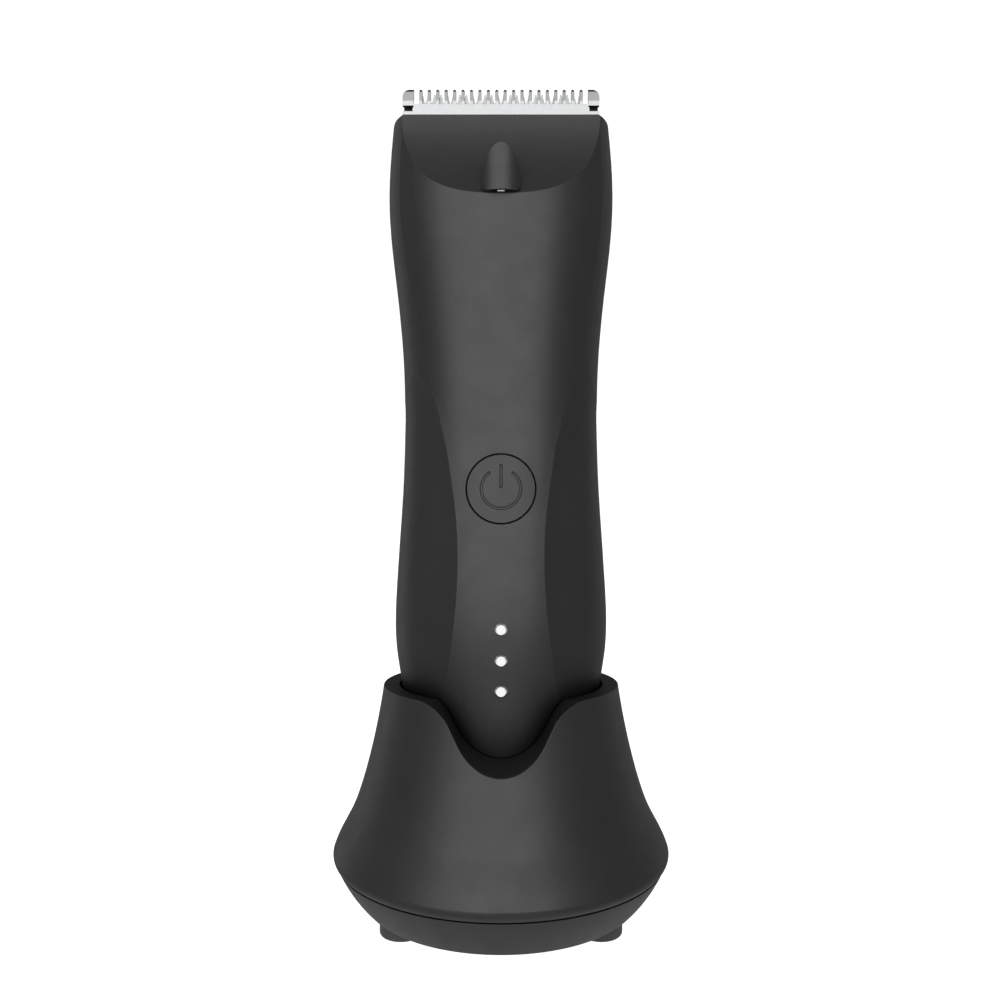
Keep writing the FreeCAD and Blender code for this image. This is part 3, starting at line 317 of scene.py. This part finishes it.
def build_materials():
    charcoal = (0.0160, 0.0171, 0.0165), (0.0184, 0.0196, 0.0190)
    dock_grey = (0.0155, 0.0164, 0.0160), (0.0180, 0.0190, 0.0186)
    near_black = (0.0040, 0.0042, 0.0041), (0.0056, 0.0058, 0.0057)
    tip_height = TOP_Z - 0.35 * MM
    return {
        # shade, reach and calm set the painted shade in hollows; shine sets the painted edge highlights.
        "body_plastic": moulded("body_plastic", *charcoal, 0.43, shade=2.6, calm=(42, 56)),
        "dock_plastic": moulded("dock_plastic", *dock_grey, 0.45, 0.2, shade=4.0, shine=7.0, calm=(30, 20)),
        "base_plastic": moulded("base_plastic", *dock_grey, 0.42, 0.2, shade=0.5, shine=3.0),
        "dock_dark_plastic": moulded("dock_dark_plastic", *near_black, 0.62),
        "button_plastic": moulded("button_plastic", *charcoal, 0.45, 0.05, shade=4.0, reach=0.3),
        "black_plastic": moulded("black_plastic", (0.005, 0.005, 0.005), (0.008, 0.008, 0.008), 0.45),
        "frame_plastic": moulded("frame_plastic", (0.40, 0.40, 0.38), (0.50, 0.50, 0.48), 0.5),
        "rubber": soft_rubber("rubber", (0.010, 0.010, 0.010)),
        "foot_rubber": soft_rubber("foot_rubber", (0.045, 0.046, 0.045)),
        "blade_steel": ground_steel("blade_steel", (0.42, 0.424, 0.428), "z", 0.42, dark_above=tip_height),
        "cutter_ceramic": ground_steel("cutter_steel", (0.36, 0.364, 0.368), "x", 0.42),
        "screw_steel": turned_metal("screw_steel", (0.52, 0.52, 0.54)),
        "motor_steel": turned_metal("motor_steel", (0.62, 0.62, 0.63), 0.28),
        "rotor_metal": turned_metal("rotor_metal", (0.42, 0.38, 0.35), 0.4),
        "cell_wrap": shrink_wrap("cell_wrap", (0.02, 0.10, 0.28)),
        "nickel": turned_metal("nickel", (0.66, 0.63, 0.58), 0.25),
        "contact_gold": turned_metal("contact_gold", (0.83, 0.62, 0.25), 0.22),
        "board_green": circuit_board("board_green"),
        "chip_black": moulded("chip_black", (0.012, 0.012, 0.013), (0.02, 0.02, 0.021), 0.55, 0.04),
        "light_white": clear_white("light_white", 0.4),
        "lead_insulation": shrink_wrap("lead_insulation", (0.35, 0.02, 0.015)),
        "weight_steel": cast_weight("weight_steel"),
    }


def dress_frame():
    """Puts the procedural material of its slot on every CAD node."""
    made = build_materials()
    for entry in frame["record"]["subparts"]:
        node = NODES[entry["node"]]
        for index in range(len(node.material_slots)):
            node.material_slots[index].material = made[entry["material_slot"]]


# ------------------------------------------------------------------ stage
def floor_material():
    """Plain white paper, bright enough to join the white ground."""
    s = Surface("floor_white", Roughness=0.6, Emission_Strength=1.0)
    s.shader.inputs["Emission Color"].default_value = (*WHITE, 1.0)
    paper = s.noise(40.0, 3.0)
    s.feed("Base Color", s.ramp(paper, [(0.3, (0.86, 0.86, 0.86)), (0.7, (0.9, 0.9, 0.9))]))
    return s.material


def add_floor():
    """White table, left out of diffuse and glossy rays: the world's glow from below stands in for it."""
    mesh = bpy.data.meshes.new("floor")
    corners = [(x * FLOOR_HALF, y * FLOOR_HALF, 0) for x, y in ((-1, -1), (1, -1), (1, 1), (-1, 1))]
    mesh.from_pydata(corners, [], [(0, 1, 2, 3)])
    floor = bpy.data.objects.new("floor", mesh)
    bpy.context.scene.collection.objects.link(floor)
    mesh.materials.append(floor_material())
    floor.visible_diffuse = False
    floor.visible_glossy = False


def add_light(name, place, width, height, power):
    light = bpy.data.lights.new(name, "AREA")
    light.shape = "RECTANGLE"
    light.size, light.size_y = width, height
    light.energy = power
    thing = bpy.data.objects.new(name, light)
    thing.location = place
    direction = Vector(LIGHT_TARGET) - Vector(place)
    thing.rotation_euler = direction.to_track_quat("-Z", "Y").to_euler()
    thing.visible_camera = False
    bpy.context.scene.collection.objects.link(thing)


def add_world():
    """White ground to look at; to light with, a softer grey sky over the glow of a white table."""
    world = bpy.data.worlds.new("studio")
    bpy.context.scene.world = world
    world.use_nodes = True
    tree = world.node_tree
    tree.nodes.clear()
    output = tree.nodes.new("ShaderNodeOutputWorld")
    seen, lit = (tree.nodes.new("ShaderNodeBackground") for _ in range(2))
    seen.inputs["Strength"].default_value = SEEN_STRENGTH
    for background in (seen, lit):
        background.inputs["Color"].default_value = (*WHITE, 1.0)
    direction = tree.nodes.new("ShaderNodeSeparateXYZ")
    tree.links.new(tree.nodes.new("ShaderNodeTexCoord").outputs["Generated"], direction.inputs["Vector"])
    glow = tree.nodes.new("ShaderNodeMapRange")
    glow.inputs["From Min"].default_value = GLOW_FULL
    glow.inputs["From Max"].default_value = GLOW_GONE
    glow.inputs["To Min"].default_value = TABLE_STRENGTH
    glow.inputs["To Max"].default_value = SKY_STRENGTH
    tree.links.new(direction.outputs["Z"], glow.inputs["Value"])
    tree.links.new(glow.outputs["Result"], lit.inputs["Strength"])
    mix = tree.nodes.new("ShaderNodeMixShader")
    path = tree.nodes.new("ShaderNodeLightPath")
    tree.links.new(path.outputs["Is Camera Ray"], mix.inputs["Fac"])
    tree.links.new(lit.outputs["Background"], mix.inputs[1])
    tree.links.new(seen.outputs["Background"], mix.inputs[2])
    tree.links.new(mix.outputs["Shader"], output.inputs["Surface"])


def add_camera():
    camera = bpy.data.cameras.new("camera")
    camera.lens = LENS_MM
    camera.sensor_width = SENSOR_MM
    camera.shift_x = SHIFT_X
    camera.clip_start = NEAR_CLIP
    thing = bpy.data.objects.new("camera", camera)
    thing.location = CAMERA_PLACE
    thing.rotation_euler = (math.radians(90), 0, 0)
    bpy.context.scene.collection.objects.link(thing)
    bpy.context.scene.camera = thing


def add_stage():
    add_floor()
    add_world()
    for light in LIGHTS:
        add_light(*light)
    add_camera()
    bpy.context.scene.view_settings.view_transform = "Standard"


dress_frame()
add_stage()
